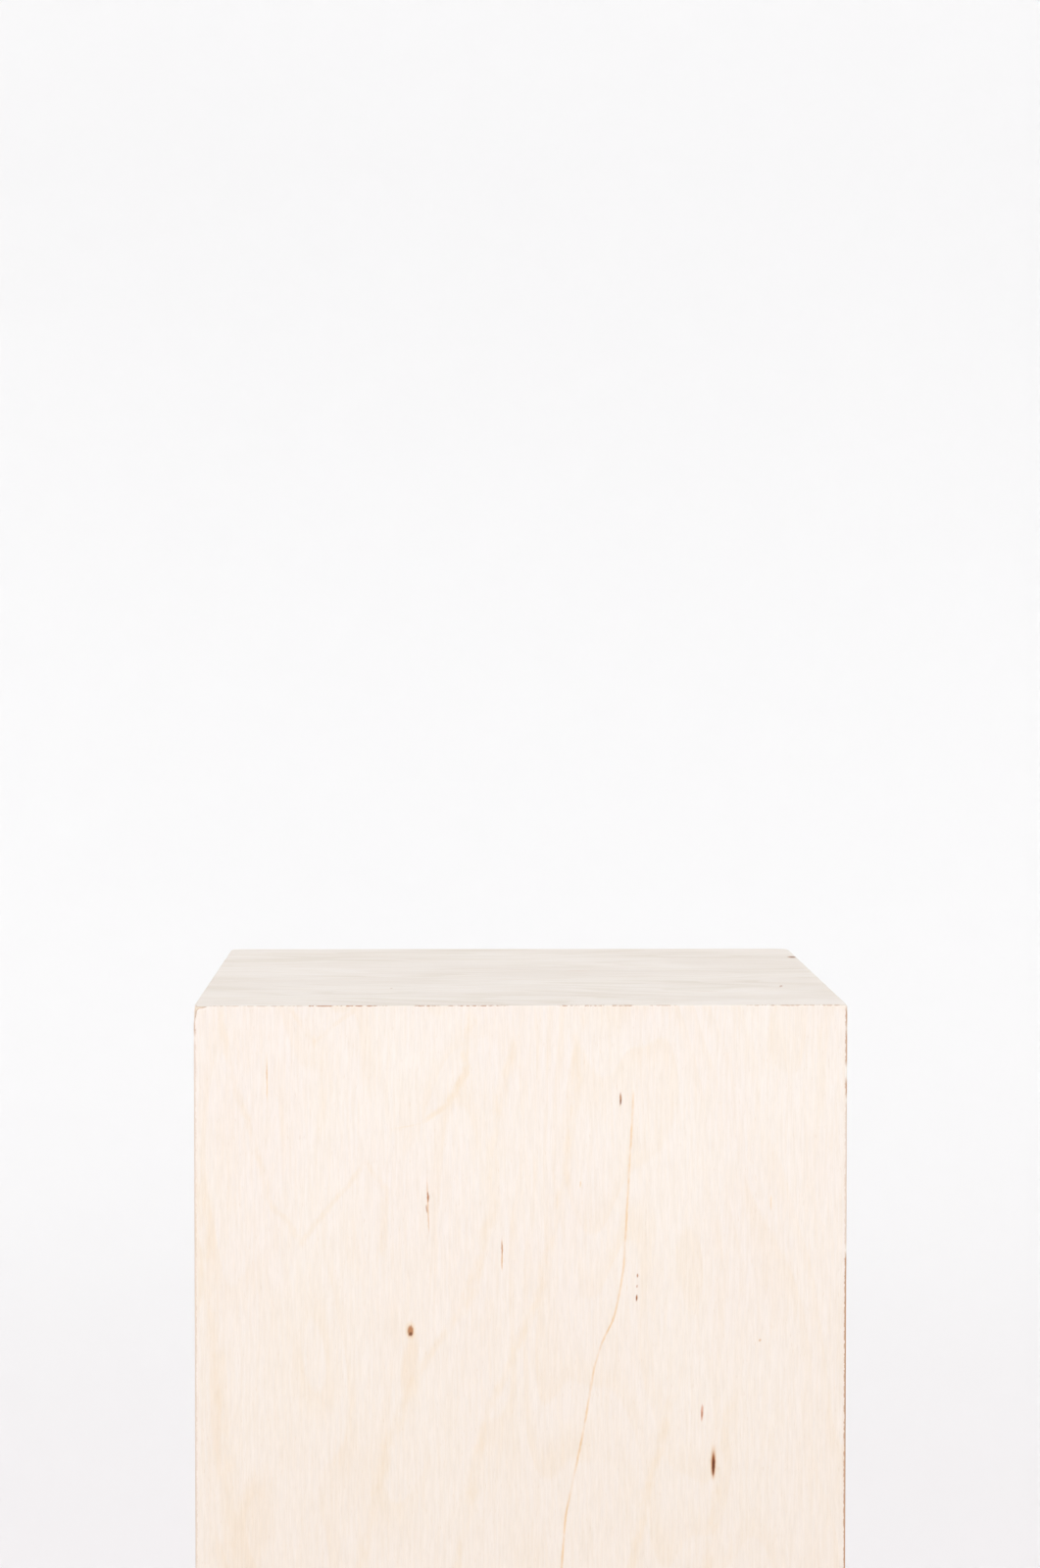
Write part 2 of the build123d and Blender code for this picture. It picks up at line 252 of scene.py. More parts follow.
# Long soft lines on the front: (down, across) points, width, tint, strength
FRONT_LINES = [
    (MINERAL_LINE, 1.0, MINERAL, 0.78),
    ([(2, 14), (25, 17), (50, 25), (80, 34), (103, 39), (118, 50), (128, 57)], 3.2, FIGURE, 0.55),
    ([(84, 92), (90, 86), (96, 82), (116, 66), (128, 57)], 3.2, FIGURE, 0.55),
    ([(84, 92), (100, 103), (122, 101), (150, 97)], 3.2, FIGURE, 0.45),
    ([(2, 53), (14, 60), (20, 64)], 3.0, FIGURE, 0.6),
    ([(2, 86), (10, 76), (20, 64)], 3.0, FIGURE, 0.6),
    ([(2, 148), (36, 145), (53, 136), (63, 124), (66, 109)], 3.4, FIGURE, 0.9),
    (LONG_CONTOUR, 4.5, FIGURE, 0.6),
    (NEXT_CONTOUR, 3.6, FIGURE, 0.6),
    ([(90, 1), (163, 9), (226, 17), (301, 19), (560, 26)], 7.0, FIGURE, 0.5),
    ([(210, 256), (264, 243), (301, 235), (520, 215)], 4.0, FIGURE, 0.7),
    ([(215, 286), (260, 281), (320, 274), (620, 262)], 4.0, FIGURE, 0.6),
]

# Worn stretches of the edges: from, to (mm along the edge's own axis), strength
WORN = {
    "top_front": [
        (-174, -118, 0.35),
        (-114, -73, 0.90),
        (-56, -45, 0.85),
        (-38, -4, 0.80),
        (21, 59, 0.75),
        (70, 82, 0.40),
        (122, 174, 0.60),
    ],
    "front_right": [
        (60, 560, 0.80),
        (610, 964, 0.85),
        (969, 1046, 0.35),
        (1051, 1060, 0.75),
        (1069, 1083, 0.75),
        (1088, 1098, 0.75),
    ],
    "front_left": [(250, 470, 0.40), (700, 1080, 0.25), (1085, 1100, 0.70)],
}


def edge_limits(edge):
    """Where an edge starts and ends, in millimetres along its own axis."""
    if edge.startswith("top"):
        return -HALF / MM, HALF / MM
    return WALL_LOW / MM, HEIGHT / MM


def worn_stretches(edge):
    """The edge's worn stretches: measured on the visible edges, and scattered on the others."""
    if edge in WORN:
        return WORN[edge]
    rng = random.Random(100 + EDGES.index(edge))
    low, high = edge_limits(edge)
    stretches, place = [], low + rng.uniform(0.02, 0.1) * (high - low)
    while place < high and len(stretches) < 7:
        length = rng.uniform(0.02, 0.14) * (high - low)
        stretches.append((place, min(place + length, high), rng.uniform(0.2, 0.7)))
        place += length + rng.uniform(0.03, 0.2) * (high - low)
    return stretches


# --- Panels: meshes ---------------------------------------------------------------------------

FINE_ENDS = [0, 0.6, 1.3, 2.1, 3.0, 4.2, 6.0, 8.5, 12.0]  # mm from each end of a panel


def stations(low, high, spots=()):
    """Shares from 0 to 1 for grid lines: closer together near both ends and round each spot."""
    places = [low + f * MM for f in FINE_ENDS] + [high - f * MM for f in FINE_ENDS]
    start, stop = low + FINE_ENDS[-1] * MM, high - FINE_ENDS[-1] * MM
    steps = round((stop - start) / GRID)
    places += [lerp(start, stop, n / steps) for n in range(1, steps)]
    for spot, reach in spots:
        places += [spot + reach * k / 4 for k in range(-5, 6)]
    places.sort()
    kept = [low]
    for place in places:
        if kept[-1] + LEAST_GAP < place < high - LEAST_GAP:
            kept.append(place)
    return [(place - low) / (high - low) for place in kept + [high]]


def hollow_depth(across, down):
    """How deep the front face is hollowed at a place, in metres."""
    depth = 0.0
    for middle, drop, width, length, deep in FRONT_HOLLOWS:
        off = math.hypot((across - middle) / width, (down - drop) / length) * 2
        depth += deep * MM * smooth((1.15 - off) / 0.6)
    return depth


def panel_mesh(name, radii, low, high, face, place, hollows=False):
    """A mitred panel as a closed mesh, in the plane of s (across) and t, facing n.

    radii are functions for the edges at low s, high s, low t and high t. The third is None where
    the panel ends square. place turns (s, t, n) into a point in the row frame. The two faces of the
    sheet have the first material, and the cut edges have the second.
    """
    at_left, at_right, at_low, at_high = radii
    arc = [math.tan(math.radians(45) * k / ARC_STEPS) for k in range(1, ARC_STEPS + 1)]
    s_spots, t_spots = [], []
    if hollows:
        s_spots = [(across * MM - HALF, width * MM) for across, _, width, _, _ in FRONT_HOLLOWS]
        t_spots = [(HEIGHT - down * MM, length * MM * 0.6) for _, down, _, length, _ in FRONT_HOLLOWS]
    flat_s = [(0.0, share, 0.0) for share in stations(-HALF, HALF, s_spots)]
    flat_t = [(0.0, share, 0.0) for share in stations(low, high, t_spots)]
    rise = [(lean, 1.0, 0.0) for lean in arc]
    fall = [(-lean, 0.0, 0.0) for lean in reversed(arc)]
    columns = fall + flat_s + rise
    if at_low:
        rows = fall + flat_t + rise
    else:
        rows = [(0.0, 0.0, BOTTOM_EASE), (0.0, BOTTOM_EASE / (high - low), 0.0)] + flat_t[2:] + rise

    def outer(column, row):
        lean_s, share_s, _ = column
        lean_t, share_t, inset = row
        s, t = lerp(-HALF, HALF, share_s), lerp(low, high, share_t)
        r_left, r_right = at_left(t), at_right(t)
        r_low, r_high = at_low(s) if at_low else 0.0, at_high(s)
        s = lerp(r_left - HALF, HALF - r_right, share_s)
        t = lerp(low + r_low, high - r_high, share_t)
        r = 0.0
        if lean_s:
            r = r_left if lean_s < 0 else r_right
        if lean_t:
            r = r_low if lean_t < 0 else r_high
        point = Vector((s, t, face - r)) + Vector((lean_s, lean_t, 1)).normalized() * (r - inset)
        if hollows and not r:
            point.z -= hollow_depth((s + HALF) / MM, (HEIGHT - t) / MM)
        return place(point)

    def inner(column, row):
        s = lerp(-INNER, INNER, column[1])
        t = lerp(low + (PLY if at_low else 0.0), high - PLY, row[1])
        return place(Vector((s, t, face - PLY)))

    def picked(lines, flat_start, flat_stop):
        """The coarse lines that carry the inner face: both ends and some flat ones between."""
        return [0] + list(range(flat_start + COARSE, flat_stop - COARSE // 2, COARSE)) + [len(lines) - 1]

    mesh = bmesh.new()
    skin = [[mesh.verts.new(outer(c, r)) for c in columns] for r in rows]
    for low_row, high_row in zip(skin, skin[1:]):
        for n in range(len(columns) - 1):
            mesh.faces.new((low_row[n], low_row[n + 1], high_row[n + 1], high_row[n]))

    some_columns = picked(columns, ARC_STEPS, len(columns) - ARC_STEPS)
    some_rows = picked(rows, ARC_STEPS if at_low else 0, len(rows) - ARC_STEPS)
    back = [[mesh.verts.new(inner(columns[c], rows[r])) for c in some_columns] for r in some_rows]
    for low_row, high_row in zip(back, back[1:]):
        for n in range(len(some_columns) - 1):
            mesh.faces.new((low_row[n], high_row[n], high_row[n + 1], low_row[n + 1]))

    def close(outline, outline_picks, inside):
        """Joins one side of the skin to the same side of the inner face."""
        for n, (first, last) in enumerate(zip(outline_picks, outline_picks[1:])):
            side = mesh.faces.new(outline[first : last + 1] + [inside[n + 1], inside[n]])
            side.material_index = CUT_EDGE

    close([row[0] for row in skin], some_rows, [row[0] for row in back])
    close([row[-1] for row in skin], some_rows, [row[-1] for row in back])
    close(skin[0], some_columns, back[0])
    close(skin[-1], some_columns, back[-1])
    bmesh.ops.recalc_face_normals(mesh, faces=mesh.faces)
    data = bpy.data.meshes.new(name)
    mesh.to_mesh(data)
    mesh.free()
    return data


def shown(name, data, body, slot, *replaced):
    """Puts a mesh in the scene as a piece that rides on a body and stands for some CAD nodes."""
    piece = bpy.data.objects.new(name, data)
    bpy.context.scene.collection.objects.link(piece)
    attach(piece, body)
    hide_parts(*replaced)
    return piece


def cutter(nodes):
    """One mesh of the biscuits and screws let into a panel, a little larger all round."""
    joined = bmesh.new()
    for node in nodes:
        joined.from_mesh(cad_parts[node].data)
    bmesh.ops.remove_doubles(joined, verts=joined.verts, dist=1e-6)
    joined.normal_update()
    for vert in joined.verts:
        vert.co += vert.normal * SLOT_CLEARANCE
    for face in joined.faces:
        face.material_index = CUT_EDGE
    data = bpy.data.meshes.new("cutter")
    joined.to_mesh(data)
    joined.free()
    return data


def cut(data, nodes, face, edge):
    """The panel's mesh with its two materials, and with its biscuit slots and screw holes cut."""
    body = bpy.data.objects.new("blank", data)
    tool = bpy.data.objects.new("cutter", cutter(nodes))
    for thing in (body, tool):
        bpy.context.scene.collection.objects.link(thing)
        thing.data.materials.append(face)
        thing.data.materials.append(edge)
    slots = body.modifiers.new("slots", "BOOLEAN")
    slots.operation, slots.solver, slots.object = "DIFFERENCE", "EXACT", tool
    bpy.context.view_layer.update()
    graph = bpy.context.evaluated_depsgraph_get()
    result = bpy.data.meshes.new_from_object(body.evaluated_get(graph), depsgraph=graph)
    result.name = data.name
    for thing in (body, tool):
        bpy.data.objects.remove(thing)
    return result


def shade(data, degrees=40):
    """Smooth shading that stays sharp at real corners."""
    data.polygons.foreach_set("use_smooth", [True] * len(data.polygons))
    data.set_sharp_from_angle(angle=math.radians(degrees))


# --- Materials: building blocks ---------------------------------------------------------------


class Graph:
    """A material's nodes, made with short calls. Any value may be a number, a vector or a socket."""

    def __init__(self, name):
        self.material = bpy.data.materials.new(name)
        self.material.use_nodes = True
        self.tree = self.material.node_tree
        self.shader = self.tree.nodes["Principled BSDF"]

    def feed(self, socket, value):
        if isinstance(value, bpy.types.NodeSocket):
            self.tree.links.new(value, socket)
        elif socket.type == "RGBA" and len(value) == 3:
            socket.default_value = (*value, 1.0)
        else:
            socket.default_value = value

    def node(self, kind, values=(), **settings):
        made = self.tree.nodes.new("ShaderNode" + kind)
        for key, value in settings.items():
            setattr(made, key, value)
        for socket, value in dict(values).items():
            self.feed(made.inputs[socket], value)
        return made

    def math(self, operation, first, second=0.0):
        return self.node("Math", {0: first, 1: second}, operation=operation).outputs[0]

    def vector(self, operation, first, second=(0, 0, 0)):
        return self.node("VectorMath", {0: first, 1: second}, operation=operation).outputs["Vector"]

    def noise(self, at, size, detail=2.0, roughness=0.5):
        """Noise from 0 to 1 whose features are about size = (x, y, z) millimetres."""
        scaled = self.vector("MULTIPLY", at, tuple(1.0 / s for s in size))
        values = {"Vector": scaled, "Scale": 1.0, "Detail": detail, "Roughness": roughness}
        return self.node("TexNoise", values).outputs["Fac"]

    def step(self, value, low, high, to_low=0.0, to_high=1.0):
        """Goes smoothly from to_low to to_high as value goes from low to high."""
        values = {"Value": value, "From Min": low, "From Max": high, "To Min": to_low, "To Max": to_high}
        return self.node("MapRange", values, interpolation_type="SMOOTHSTEP").outputs["Result"]

    def share(self, value, low, high):
        """How far value is on its straight way from low to high."""
        values = {"Value": value, "From Min": low, "From Max": high}
        return self.node("MapRange", values).outputs["Result"]

    def mix(self, share, first, second, blend="MIX"):
        made = self.node("Mix", data_type="RGBA", blend_type=blend)
        self.feed(made.inputs["Factor"], share)
        self.feed(made.inputs[6], first)
        self.feed(made.inputs[7], second)
        return made.outputs[2]

    def shaded(self, colour, amount):
        """A colour multiplied by a grey number."""
        grey = self.node("CombineColor", {0: amount, 1: amount, 2: amount}).outputs[0]
        return self.mix(1.0, colour, grey, "MULTIPLY")

    def tinted(self, colour, tint, share):
        """A colour as it looks under a share of a tint that lets only part of it through."""
        return self.mix(share, colour, tint, "MULTIPLY")

    def length(self, vector):
        return self.node("VectorMath", {0: vector}, operation="LENGTH").outputs["Value"]

    def turned(self, vector, degrees, axis="Z"):
        values = {"Vector": vector, "Angle": math.radians(degrees)}
        return self.node("VectorRotate", values, rotation_type=axis + "_AXIS").outputs[0]

    def split(self, vector):
        return self.node("SeparateXYZ", {0: vector}).outputs

    def join(self, x, y, z):
        return self.node("CombineXYZ", {0: x, 1: y, 2: z}).outputs[0]

    def place(self):
        """The point in the row frame, in millimetres."""
        point = self.node("TexCoord").outputs["Object"]
        return self.vector("MULTIPLY", point, (1000, 1000, 1000))

    def curve(self, value, points):
        """A line through (in, out) points from 0 to 1, straight from each one to the next."""
        made = self.node("FloatCurve", {"Value": value})
        line = made.mapping.curves[0]
        line.points[0].location, line.points[1].location = points[0], points[-1]
        for point in points[1:-1]:
            line.points.new(*point)
        for point in line.points:
            point.handle_type = "VECTOR"
        made.mapping.update()
        return made.outputs[0]

    def finish(self, colour, roughness, height=None, depth=0.05 * MM, specular=0.5):
        self.feed(self.shader.inputs["Base Color"], colour)
        self.feed(self.shader.inputs["Roughness"], roughness)
        self.shader.inputs["Specular IOR Level"].default_value = specular
        if height is not None:
            bump = self.node("Bump", {"Height": height, "Distance": depth, "Strength": 1.0})
            self.feed(self.shader.inputs["Normal"], bump.outputs[0])
        return self.material


# --- Materials: birch plywood -----------------------------------------------------------------

# Colours, sizes of noise in mm (across, along and through the grain) and strengths
WALL_VENEER = {
    "pale": (0.840, 0.774, 0.718),
    "pink": (0.834, 0.762, 0.713),
    "cloud": (60, 150, 60),
    "swell": (95, 330, 95),
    "contours": 15.0,
    "figure": FIGURE,
    "figured": 0.42,
    "contrast": 1.0,
}
# The top's sheet is the same birch as the walls. It is painted darker as painted shade, since the light
# comes from the front, and greyer as a painted sheen of the white surroundings.
TOP_VENEER_PAINTED_SHADE = {
    "pale": (0.718, 0.671, 0.634),
    "pink": (0.678, 0.624, 0.579),
    "cloud": (45, 130, 45),
    "swell": (70, 260, 70),
    "contours": 11.0,
    "figure": (0.900, 0.886, 0.838),
    "figured": 0.7,
    "contrast": 0.65,
}
WALL_PAINTED_SHADE = (0.788, 0.706, 0.634)  # painted shade: the walls are painted darker and warmer lower down, where the light falls off
HEART_TINT = (0.994, 0.975, 0.940)  # yellower fibres
PORE = (0.930, 0.885, 0.830)
SECOND_PLY = (0.790, 0.680, 0.560)
GLUE = (0.110, 0.055, 0.030)
WORN_TINT = (0.560, 0.330, 0.190)
END_GRAIN = (0.520, 0.380, 0.250)
LONG_GRAIN = (0.760, 0.640, 0.490)
FIBRE = (1.4, 24, 1.4)
VENEER = 0.75  # mm of face veneer left after sanding
FIRST_INSIDE = 7.0  # mm below the face: everything deeper is the sheet's back
LINE_FADE = 4.0  # mm over which a long line starts and ends


def grain_place(g, panel):
    """The point as (across the grain, along the grain, depth into the panel), in mm."""
    point = g.place()
    if panel == "top":
        x, y, z = g.split(point)[:3]
        return g.join(y, x, g.math("SUBTRACT", HEIGHT / MM, z))
    x, y, z = g.split(g.turned(point, -WALLS[panel][0]))[:3]
    return g.join(x, z, g.math("ADD", y, HALF / MM))


def worn_line(g, distance, depth, along, edge):
    """A mask for the stretches of an edge where the veneer is sanded through to the glue."""
    low, high = edge_limits(edge)
    ramp = g.node("ValToRGB", {0: g.share(along, low, high)})
    stops = ramp.color_ramp.elements
    fade = 1.5 / (high - low)
    stops[0].position, stops[1].position = 0.0, 1.0
    stops[0].color = stops[1].color = (0, 0, 0, 1)
    for start, stop, strength in worn_stretches(edge):
        first, last = (start - low) / (high - low), (stop - low) / (high - low)
        for position, level in ((first - fade, 0), (first, strength), (last, strength), (last + fade, 0)):
            stops.new(min(max(position, 0.0), 1.0)).color = (level, level, level, 1)
    ragged = g.noise(g.place(), (2.2, 2.2, 2.2), 3.0, 0.7)
    reach = g.step(ragged, 0.36, 0.62, *((0.10, 0.62) if edge.startswith("top") else (0.75, 1.20)))
    off = g.math("MAXIMUM", distance, depth)
    line = g.step(g.math("DIVIDE", off, reach), 0.75, 1.35, 1.0, 0.0)
    return g.math("MULTIPLY", line, ramp.outputs[0])


def spot_mask(g, flat, middle, size, lean):
    """1 in the middle of an ellipse, falling to 0 at its rim. Everything is in millimetres."""
    away = g.vector("SUBTRACT", flat, (*middle, 0))
    scaled = g.vector("MULTIPLY", g.turned(away, lean), (2 / size[0], 2 / size[1], 0))
    return g.step(g.length(scaled), 0.55, 1.2, 1.0, 0.0)


def scattered_marks(panel, across, along):
    """Small streaks and pin marks, strewn over a panel between two limits each way."""
    rng = random.Random(40 + ["right", "back", "left", "top"].index(panel))
    marks = []
    for _ in range(9 if panel == "top" else 20):
        long = rng.uniform(2, 24)
        tint = rng.choice([BROWN, TAN, TAN, ROSE])
        place = (rng.uniform(*across), rng.uniform(*along))
        marks.append((*place, rng.uniform(0.8, 1.5), long, rng.uniform(-2, 2), tint, rng.uniform(0.2, 0.6)))
    return marks


def figured(g, sheet, shifted, colour):
    """Adds rotary-cut figure: contour lines of a slow swell in the log, pulled long up the grain."""
    swell = g.noise(shifted, sheet["swell"], 2.0, 0.45)
    level = g.math("FRACT", g.math("MULTIPLY", swell, sheet["contours"]))
    band = g.math("MULTIPLY", g.step(level, 0.25, 0.90), g.step(level, 0.90, 1.0, 1.0, 0.0))
    fades = g.step(g.noise(shifted, (50, 120, 50), 2.0), 0.36, 0.62, 0.15, 1.0)
    share = g.math("MULTIPLY", band, fades)
    return g.tinted(colour, sheet["figure"], g.math("MULTIPLY", share, sheet["figured"]))


def fibrous(g, shifted, colour, contrast):
    """Adds fibre, flecks and pores. Gives the colour, the fibre and the height for the bump."""
    fibre = g.noise(shifted, FIBRE, 3.0, 0.6)
    hair = g.noise(shifted, (0.55, 7, 0.55), 2.0, 0.6)
    fleck = g.noise(shifted, (2.2, 11, 2.2), 2.0, 0.55)
    pores = g.step(g.noise(shifted, (0.45, 4.5, 0.45), 1.0), 0.66, 0.78)
    colour = g.tinted(colour, HEART_TINT, g.step(fibre, 0.30, 0.70))
    tone = g.math("ADD", g.step(hair, 0.25, 0.75, -0.020, 0.018), g.step(fleck, 0.28, 0.72, -0.015, 0.013))
    tone = g.math("ADD", tone, g.step(fibre, 0.25, 0.75, 0.010, -0.010))
    colour = g.shaded(colour, g.math("ADD", g.math("MULTIPLY", tone, contrast), 1.0))
    colour = g.tinted(colour, PORE, g.math("MULTIPLY", pores, 0.7))
    height = g.math("ADD", g.math("MULTIPLY", fibre, 0.5), g.math("MULTIPLY", hair, 0.5))
    return colour, fibre, g.math("SUBTRACT", height, g.math("MULTIPLY", pores, 0.5))


def drawn_line(g, across, down, points):
    """The distance across from a line through (down, across) points, in millimetres."""
    first, last = points[0][0], points[-1][0]
    width = 2 * HALF / MM
    shares = [((drop - first) / (last - first), left / width) for drop, left in points]
    course = g.curve(g.share(down, first, last), shares)
    return g.math("ABSOLUTE", g.math("SUBTRACT", across, g.math("MULTIPLY", course, width)))


def long_lines(g, across, along, ragged, outside, shifted, colour):
    """Adds the front's mineral line and contour lines. Contour lines sway, and all fade in places."""
    breaks = g.step(g.noise(shifted, (9, 22, 9), 3.0, 0.7), 0.34, 0.62, 0.22, 1.0)
    down = g.math("SUBTRACT", HEIGHT / MM, along)
    sway = g.math("MULTIPLY", g.math("SUBTRACT", g.noise(shifted, (16, 22, 16), 3.0, 0.6), 0.5), 9.0)
    from_left = g.math("ADD", g.math("ADD", across, HALF / MM), ragged)
    swayed = g.math("ADD", from_left, sway)
    for points, width, tint, strength in FRONT_LINES:
        first, last = points[0][0], points[-1][0]
        off = drawn_line(g, from_left if tint is MINERAL else swayed, down, points)
        line = g.math("MULTIPLY", g.step(off, width * 0.15, width, 1.0, 0.0), breaks)
        begun = g.step(down, first - LINE_FADE, first + LINE_FADE)
        not_over = g.step(down, last - LINE_FADE, last + LINE_FADE, 1.0, 0.0)
        there = g.math("MULTIPLY", g.math("MULTIPLY", begun, not_over), outside)
        colour = g.tinted(colour, tint, g.math("MULTIPLY", g.math("MULTIPLY", line, there), strength))
    return colour


def marked(g, panel, grain, shifted, colour):
    """Adds natural marks, with slightly ragged outlines, on the outer face only."""
    across, along, depth = g.split(grain)[:3]
    outside = g.step(depth, 1.0, 2.0, 1.0, 0.0)
    ragged = g.math("MULTIPLY", g.math("SUBTRACT", g.noise(shifted, (0.9, 4, 0.9), 3.0, 0.7), 0.5), 0.9)
    flat = g.join(g.math("ADD", across, ragged), g.math("ADD", along, g.math("MULTIPLY", ragged, 2.0)), 0.0)
    if panel == "front":
        marks = [(m[0] - HALF / MM, HEIGHT / MM - m[1], *m[2:]) for m in FRONT_MARKS]
        colour = long_lines(g, across, along, ragged, outside, shifted, colour)
    elif panel == "top":
        marks = TOP_MARKS + scattered_marks(panel, (-150, 150), (-150, 150))
    else:
        marks = scattered_marks(panel, (-165, 165), (30, 1080))
    for place_s, place_t, wide, long, lean, tint, strength in marks:
        mask = spot_mask(g, flat, (place_s, place_t), (wide, long), lean)
        colour = g.tinted(colour, tint, g.math("MULTIPLY", g.math("MULTIPLY", mask, outside), strength))
    return colour


def edge_worn(g, panel, grain, colour):
    """Adds the ply below where a corner is worn right through, and the worn lines at the edges."""
    across, along, depth = g.split(grain)[:3]
    face_side = g.step(depth, 5.0, 6.0, 1.0, 0.0)
    through = g.math("MULTIPLY", g.step(depth, VENEER - 0.03, VENEER + 0.03), face_side)
    rim = g.step(g.math("ABSOLUTE", g.math("SUBTRACT", depth, VENEER)), 0.05, 0.14, 0.85, 0.0)
    colour = g.mix(through, colour, SECOND_PLY)
    colour = g.tinted(colour, WORN_TINT, rim)
    x, y, z = g.split(g.place())[:3]
    from_low = g.math("ADD", across, HALF / MM)
    from_high = g.math("SUBTRACT", HALF / MM, across)
    if panel == "top":
        borders = [
            ("top_front", from_low, x),
            ("top_back", from_high, x),
            ("top_left", g.math("ADD", along, HALF / MM), y),
            ("top_right", g.math("SUBTRACT", HALF / MM, along), y),
        ]
    else:
        _, left_edge, right_edge, sign = WALLS[panel]
        borders = [
            (left_edge, from_low, z),
            (right_edge, from_high, z),
            ("top_" + panel, g.math("SUBTRACT", HEIGHT / MM, along), g.math("MULTIPLY", across, sign)),
        ]
    for edge, distance, place_along in borders:
        line = worn_line(g, distance, depth, place_along, edge)
        colour = g.tinted(colour, WORN_TINT, g.math("MULTIPLY", line, face_side))
    return colour


def veneer(panel):
    """Rotary-cut birch, sanded and clear: figure, fibre, natural marks and worn edges. The walls also carry
    painted shade lower down, and the top's sheet is painted darker and greyer as painted shade and painted
    sheen.
    """
    g = Graph("birch_veneer_" + panel)
    seed = 1 + ["front", "right", "back", "left", "top"].index(panel)
    grain = grain_place(g, panel)
    _, along, depth = g.split(grain)[:3]
    inside = g.math("MULTIPLY", g.math("GREATER_THAN", depth, FIRST_INSIDE), 700.0)
    shifted = g.vector("ADD", grain, g.join(seed * 911.0, g.math("ADD", inside, seed * 377.0), seed * 53.0))

    # the top's sheet carries painted shade and painted sheen
    sheet = TOP_VENEER_PAINTED_SHADE if panel == "top" else WALL_VENEER
    cloud = g.step(g.noise(shifted, sheet["cloud"], 3.0), 0.36, 0.64)
    colour = g.mix(cloud, sheet["pale"], sheet["pink"])
    if panel != "top":
        # painted shade: the walls darken towards the bottom, standing in for the light falling off
        # downwards
        colour = g.mix(g.step(along, 780, 1090, 0.80, 0.0), colour, WALL_PAINTED_SHADE)
    colour = figured(g, sheet, shifted, colour)
    colour, fibre, height = fibrous(g, shifted, colour, sheet["contrast"])
    colour = marked(g, panel, grain, shifted, colour)
    colour = edge_worn(g, panel, grain, colour)
    return g.finish(colour, g.step(fibre, 0.2, 0.8, 0.50, 0.62), height, 0.03 * MM, 0.35)


def ply_edge(panel):
    """The cut edge of the sheet: plies with their grain turned by turns, and dark glue lines."""
    g = Graph("birch_edge_" + panel)
    grain = grain_place(g, panel)
    depth = g.split(grain)[2]
    wavy = g.math("ADD", depth, g.step(g.noise(grain, (30, 30, 3), 2.0), 0.3, 0.7, -0.12, 0.12))
    layer = g.math("DIVIDE", wavy, PLY / MM / PLIES)
    within = g.math("FRACT", layer)
    even = g.math("LESS_THAN", g.math("MODULO", layer, 2.0), 1.0)
    speckle = g.noise(grain, (0.5, 0.5, 0.35), 2.0, 0.7)
    streak = g.noise(grain, (14, 14, 0.4), 3.0, 0.6)
    ends = g.shaded(END_GRAIN, g.step(speckle, 0.3, 0.7, 0.70, 1.12))
    sides = g.shaded(LONG_GRAIN, g.step(streak, 0.3, 0.7, 0.86, 1.06))
    colour = g.mix(even, sides, ends)
    seam = g.math("ABSOLUTE", g.math("SUBTRACT", within, 0.5))
    glue = g.step(seam, 0.44, 0.48)
    colour = g.mix(g.math("MULTIPLY", glue, 0.8), colour, GLUE)
    return g.finish(colour, g.step(speckle, 0.3, 0.7, 0.65, 0.85), speckle, 0.05 * MM, 0.25)


# --- Materials: softwood, beech, metal, nylon and rubber --------------------------------------

PINE_EARLY = (0.760, 0.560, 0.330)
PINE_LATE = (0.520, 0.285, 0.120)
PINE_DUCT = (0.300, 0.160, 0.080)
BEECH = (0.610, 0.400, 0.255)
BEECH_RAY = (0.400, 0.225, 0.130)
PRESSED_BEECH = (0.560, 0.375, 0.220)
ZINC = (0.640, 0.655, 0.675)
YELLOW_ZINC = (0.700, 0.600, 0.350)
GRIME = (0.110, 0.095, 0.080)
NYLON = (0.022, 0.022, 0.024)
RUBBER = (0.018, 0.018, 0.019)
DUST = (0.260, 0.240, 0.215)


def pine(name, lengthwise, pith):
    """Planed softwood: growth rings round a pith line that runs lengthwise, in mm."""
    g = Graph(name)
    x, y, z = g.split(g.place())[:3]
    first, second, along = {"X": (y, z, x), "Y": (x, z, y), "Z": (x, y, z)}[lengthwise]
    grain = g.join(first, second, along)
    sway = g.math("SUBTRACT", g.noise(grain, (60, 60, 420), 2.0), 0.5)
    off_first = g.math("ADD", g.math("SUBTRACT", first, pith[0]), g.math("MULTIPLY", sway, 14.0))
    off_second = g.math("ADD", g.math("SUBTRACT", second, pith[1]), g.math("MULTIPLY", sway, 9.0))
    from_pith = g.length(g.join(off_first, off_second, 0.0))
    uneven = g.math("MULTIPLY", g.noise(grain, (5, 5, 160), 2.0), 2.2)
    ring = g.math("FRACT", g.math("DIVIDE", g.math("ADD", from_pith, uneven), 3.1))
    late = g.math("MULTIPLY", g.step(ring, 0.35, 0.88), g.step(ring, 0.93, 1.0, 1.0, 0.0))
    colour = g.mix(g.math("MULTIPLY", late, 0.72), PINE_EARLY, PINE_LATE)
    fibre = g.noise(grain, (0.5, 0.5, 34), 3.0, 0.6)
    colour = g.shaded(colour, g.step(fibre, 0.25, 0.75, 0.90, 1.05))
    ducts = g.step(g.noise(grain, (0.5, 0.5, 11), 1.0), 0.69, 0.75)
    colour = g.mix(g.math("MULTIPLY", ducts, 0.45), colour, PINE_DUCT)
    planer = g.math("SINE", g.math("MULTIPLY", along, math.tau / 2.4))
    height = g.math("ADD", g.math("MULTIPLY", planer, 0.10), g.math("MULTIPLY", fibre, 0.7))
    height = g.math("ADD", height, g.math("MULTIPLY", late, 0.3))
    return g.finish(colour, g.step(late, 0.0, 1.0, 0.66, 0.52), height, 0.04 * MM, 0.35)


